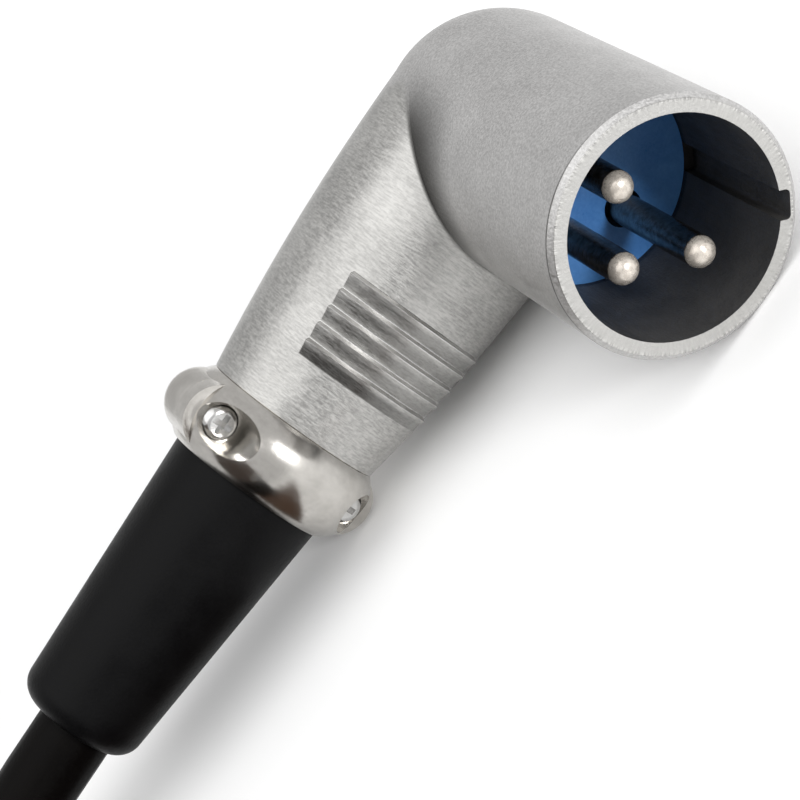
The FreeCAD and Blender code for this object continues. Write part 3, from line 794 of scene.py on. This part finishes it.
@dataclass
class Cable:
    """The whole cable as one smooth line: out of the boot, nine turns of the hank, into the socket.

    Its waypoints are those of the solids' cable at both ends of the hank.
    """

    finishes: FinishBook
    diameter: float = 6.3 * MM
    length: float = 3.0
    height: float = 9.5 * MM
    line: float = 10.1 * MM
    boot_end: float = -33.3 * MM
    hank_start: float = -93.3 * MM
    hank_run: float = 70.0 * MM
    hank_middle: float = -22.0 * MM
    fold: float = 19.5 * MM
    columns: int = 3
    layers: int = 3
    lowest: float = 3.95 * MM
    fold_points: int = 8
    inner_end: float = -6.0 * MM
    level_end: float = -45.2 * MM
    slope_end: float = -69.3 * MM
    round_steps: int = 6
    line_steps: int = 6

    def leave(self) -> list[Point]:
        """The points from inside the boot, level and then down to the hank.

        Returns:
            The points.
        """
        return [(self.inner_end, self.line, self.height), (self.level_end, self.line, self.height),
                (self.slope_end, self.line, self.lowest)]

    def arrive(self) -> list[Point]:
        """The points from the hank over its far fold into the socket's boot.

        Returns:
            The points.
        """
        route = [(-122.3, -2.5, 16.55), (-148.3, -1.5, 22.5), (-172.9, -1.0, 24.0),
                 (-186.4, -15.0, 25.5), (-186.4, -34.2, 27.5), (-172.9, -47.8, 29.2),
                 (-120.1, -47.8, 29.2)]
        return [(x * MM, y * MM, z * MM) for x, y, z in route]

    def station(self, turn: int) -> tuple[float, float]:
        """The fold's radius and the height of a turn: columns run inwards and outwards in turn.

        Args:
            turn: the turn's number from 0.

        Returns:
            The radius and the height.
        """
        turn = min(turn, self.columns * self.layers - 1)
        layer, column = divmod(turn, self.columns)
        inwards = column if layer % 2 else self.columns - 1 - column
        return self.fold + inwards * self.diameter, self.lowest + layer * self.diameter

    def turns(self) -> list[Point]:
        """The control points of the nine turns, each ending on the next one's radius and height.

        Returns:
            The points.
        """
        points = []
        step = math.pi / self.fold_points
        # How far outside an arc its control points lie.
        reach = 1 / math.cos(step / 2)
        far = self.hank_start - self.hank_run
        for turn in range(self.columns * self.layers):
            radius, height = self.station(turn)
            after, above = self.station(turn + 1)
            points += [(self.hank_start - share * self.hank_run, self.hank_middle + radius, height)
                       for share in (0.0, 0.5)]
            for index in range(self.fold_points):
                angle = (index + 0.5) * step
                points.append((far - math.sin(angle) * radius * reach,
                               self.hank_middle + math.cos(angle) * radius * reach, height))
            points += [(self.hank_start - share * self.hank_run, self.hank_middle - radius, height)
                       for share in (0.5, 0.0)]
            for index in range(self.fold_points):
                share = (index + 0.5) / self.fold_points
                easy = share * share * (3 - 2 * share)
                wide = (radius + (after - radius) * easy) * reach
                points.append((self.hank_start + math.sin(share * math.pi) * wide,
                               self.hank_middle - math.cos(share * math.pi) * wide,
                               height + (above - height) * easy))
        radius, height = self.station(self.columns * self.layers)
        points.append((self.hank_start, self.hank_middle + radius, height))
        return points

    def build(self, on_it: Sequence[bpy.types.Object]) -> bpy.types.Object:
        """Args:
            on_it: the socket's pieces and the strap; not used.

        Returns:
            The cable.
        """
        route = self.leave() + self.turns() + self.arrive()
        curve = bpy.data.curves.new("cable_line", "CURVE")
        curve.dimensions = "3D"
        spline = curve.splines.new("NURBS")
        spline.points.add(len(route) - 1)
        for point, place in zip(spline.points, route):
            point.co = (*place, 1.0)
        spline.order_u = 3
        spline.use_endpoint_u = True
        curve.bevel_depth = self.diameter / 2
        curve.bevel_resolution = self.round_steps
        curve.resolution_u = self.line_steps
        curve.use_fill_caps = True
        cable = bpy.data.objects.new("cable_line", curve)
        bpy.context.scene.collection.objects.link(cable)
        self.finishes.dress(cable, "cable_jacket")
        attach(cable, Body.LEAD.value)
        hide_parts("cable", "cable_hank", "cable_tail")
        LOG.info("cable_line has %d control points", len(route))
        return cable


@dataclass
class Studio:
    """The camera, the pale floor and the soft lights."""

    camera_place: Point = (10.36 * MM, -192.06 * MM, 112.40 * MM)
    right: Point = (0.5878, -0.3668, -0.7211)
    upward: Point = (0.8083, 0.3053, 0.5035)
    back: Point = (0.0355, -0.8788, 0.4759)
    lens: float = 131.6
    sensor: float = 36.0
    nearest: float = 0.01
    farthest: float = 30.0
    floor_half: float = 4.0
    floor_grey: Point = (0.7, 0.7, 0.7)
    floor_white: Point = (1.0, 1.0, 1.0)
    sky_grey: Point = (0.72, 0.72, 0.72)
    dullness: float = 0.9

    def camera(self) -> None:
        """Sets the camera where the photograph was taken from."""
        data = bpy.data.cameras.new("camera")
        data.lens = self.lens
        data.sensor_width = self.sensor
        data.clip_start = self.nearest
        data.clip_end = self.farthest
        camera = bpy.data.objects.new("camera", data)
        bpy.context.scene.collection.objects.link(camera)
        turn = Matrix((self.right, self.upward, self.back)).transposed()
        camera.matrix_world = Matrix.Translation(self.camera_place) @ turn.to_4x4()
        bpy.context.scene.camera = camera

    def floor(self) -> None:
        """Lays the pale floor, which camera and mirror rays see white, with the object's shadow."""
        bpy.ops.object.select_all(action="DESELECT")
        bpy.ops.mesh.primitive_plane_add(size=2 * self.floor_half, location=(0, 0, 0))
        floor = bpy.context.object
        floor.name = "floor"
        g = Graph("floor")
        rays = ("Is Camera Ray", "Is Glossy Ray", "Is Transmission Ray")
        camera, mirror, glass = (g.node("ShaderNodeLightPath", output=ray) for ray in rays)
        colour = g.blend(camera + mirror + glass, self.floor_grey, self.floor_white)
        floor.data.materials.append(g.close(Base_Color=colour, Roughness=self.dullness))
        LOG.info("floor is laid")

    def lamp(self, name: str, place: Point, target: Point, size: float, power: float) -> None:
        """Hangs one soft lamp.

        Args:
            name: its name.
            place: where it hangs.
            target: what it points at.
            size: the side of its square.
            power: its watts.
        """
        data = bpy.data.lights.new(name, "AREA")
        data.shape = "SQUARE"
        data.size = size
        data.energy = power
        lamp = bpy.data.objects.new(name, data)
        bpy.context.scene.collection.objects.link(lamp)
        lamp.location = place
        lamp.rotation_mode = "QUATERNION"
        lamp.rotation_quaternion = (Vector(target) - Vector(place)).to_track_quat("-Z", "Y")
        lamp.visible_camera = False
        LOG.info("%s gives %.1f W", name, power)

    def card(self, name: str, place: Point, target: Point, size: float, colour: Point) -> None:
        """Stands a dark card beside the object, which only mirrors in it.

        Args:
            name: its name.
            place: where it stands.
            target: what it faces.
            size: the side of its square.
            colour: its colour.
        """
        bpy.ops.object.select_all(action="DESELECT")
        facing = (Vector(target) - Vector(place)).to_track_quat("Z", "Y")
        bpy.ops.mesh.primitive_plane_add(size=size, location=place, rotation=facing.to_euler())
        card = bpy.context.object
        card.name = name
        g = Graph(name)
        card.data.materials.append(g.close(Base_Color=colour, Roughness=self.dullness))
        card.visible_camera = False
        card.visible_shadow = False
        card.visible_diffuse = False
        LOG.info("%s stands by", name)

    def lights(self) -> None:
        """Hangs the lamps, stands the dark cards and sets the pale surroundings."""
        middle = (0.0, 0.0, 0.0)
        self.lamp("overhead", (-0.1, -0.3, 1.1), middle, size=1.4, power=6.5)
        self.lamp("front_low", (0.6, -1.15, 0.28), middle, size=0.3, power=11.0)
        self.card("side_card", (-0.5, -0.12, 0.1), middle, size=0.5, colour=(0.05, 0.035, 0.028))
        self.card("low_card", (-0.051, -0.028, 0.0006), (-0.051, -0.028, 1.0), size=0.067,
                  colour=(0.07, 0.035, 0.018))
        world = bpy.data.worlds.new("surroundings")
        bpy.context.scene.world = world
        world.use_nodes = True
        sky = world.node_tree.nodes["Background"]
        sky.inputs["Color"].default_value = paint(self.sky_grey)
        sky.inputs["Strength"].default_value = 1.0
        bpy.context.scene.view_settings.view_transform = "Standard"


NODE_FINISHES: dict[str, list[str]] = {
    "satin_nickel": ["elbow_shell"],
    "turned_nickel": ["socket_shell"],
    "polished_nickel": ["clamp_saddle", "socket_saddle"],
    "silvered_pin": ["contact_pin_1", "contact_pin_2", "contact_pin_3"],
    "silvered_contact": ["socket_contact_1", "socket_contact_2", "socket_contact_3"],
    "screw_steel": ["insert_screw", "clamp_screw_1", "clamp_screw_2",
                    "socket_clamp_screw_1", "socket_clamp_screw_2", "latch_pin", "socket_latch"],
    "spring_steel": ["latch_spring"],
    "blue_plastic": ["male_insert"],
    "black_plastic": ["socket_insert"],
    "boot_rubber": ["boot", "socket_boot"],
    "bare_copper": ["shield_wire", "socket_shield_wire"],
    "red_wire": ["hot_wire", "socket_hot_wire"],
    "white_wire": ["cold_wire", "socket_cold_wire"],
}


def main() -> None:
    """Builds the finishes, the strap, the cable and the studio."""
    logging.basicConfig(level=logging.INFO, format="%(name)s: %(message)s")
    studio = Studio()
    studio.camera()
    finishes = FinishBook()
    finishes.build()
    strap = HankStrap(finishes).build()
    carried = [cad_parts[node] for node in sorted(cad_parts)
               if node.startswith(("socket_", "latch_"))]
    Cable(finishes).build(carried + [strap])
    finishes.dress_nodes(NODE_FINISHES)
    studio.floor()
    studio.lights()


if __name__ == "__main__":
    main()
